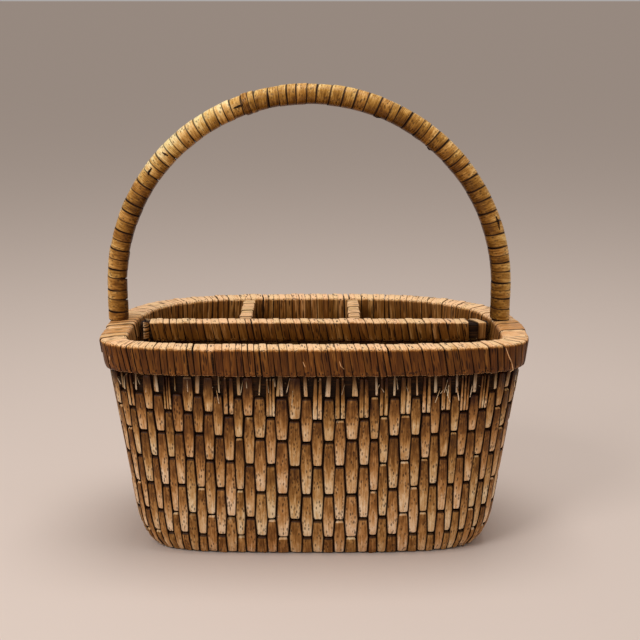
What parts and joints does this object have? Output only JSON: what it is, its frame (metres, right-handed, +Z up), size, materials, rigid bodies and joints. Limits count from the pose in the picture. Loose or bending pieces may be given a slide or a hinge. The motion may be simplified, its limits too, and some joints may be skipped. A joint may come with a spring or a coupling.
{
  "type": "divided storage basket",
  "caption": "Oblong basket of split cane with a bound rim, a fixed hoop handle and dividers that make a long front compartment and smaller ones behind it.",
  "frame": {"origin": "on the floor, under the middle of the basket", "axes": "+X along the basket to the right, +Y from the front to the back, +Z up"},
  "size_m": [0.3942, 0.214, 0.427],
  "materials": {
    "wall_splint": "satin split cane, pale gold to brown",
    "lining_splint": "matt split cane",
    "bound_splint": "satin split cane in close wraps",
    "lashing_splint": "pale satin splint",
    "panel_splint": "matt woven splint",
    "cane_core": "matt dark cane"
  },
  "bodies": {
    "root": {"base_panel": "cane_core", "floor_mat": "lining_splint", "wall_course_1": "cane_core", "wall_course_2": "cane_core", "wall_course_3": "cane_core", "wall_course_4": "cane_core", "wall_course_5": "cane_core", "wall_course_6": "cane_core", "wall_course_7": "cane_core", "wall_course_8": "cane_core", "wall_splints": "wall_splint", "wall_lining": "lining_splint", "rim_outer_hoop": "cane_core", "rim_inner_hoop": "cane_core", "rim_binding": "bound_splint", "handle_core": "cane_core", "handle_binding": "bound_splint", "handle_lashing_left": "lashing_splint", "handle_lashing_right": "lashing_splint", "long_divider_rail": "cane_core", "long_divider_binding": "bound_splint", "long_divider_panel": "panel_splint", "long_divider_lashing_left": "lashing_splint", "long_divider_strap_right": "lashing_splint", "left_divider_rail": "cane_core", "left_divider_binding": "bound_splint", "left_divider_panel": "panel_splint", "left_divider_tie_front": "lashing_splint", "left_divider_tie_back": "lashing_splint", "right_divider_rail": "cane_core", "right_divider_binding": "bound_splint", "right_divider_panel": "panel_splint", "right_divider_tie_front": "lashing_splint", "right_divider_tie_back": "lashing_splint"}
  },
  "joints": []
}
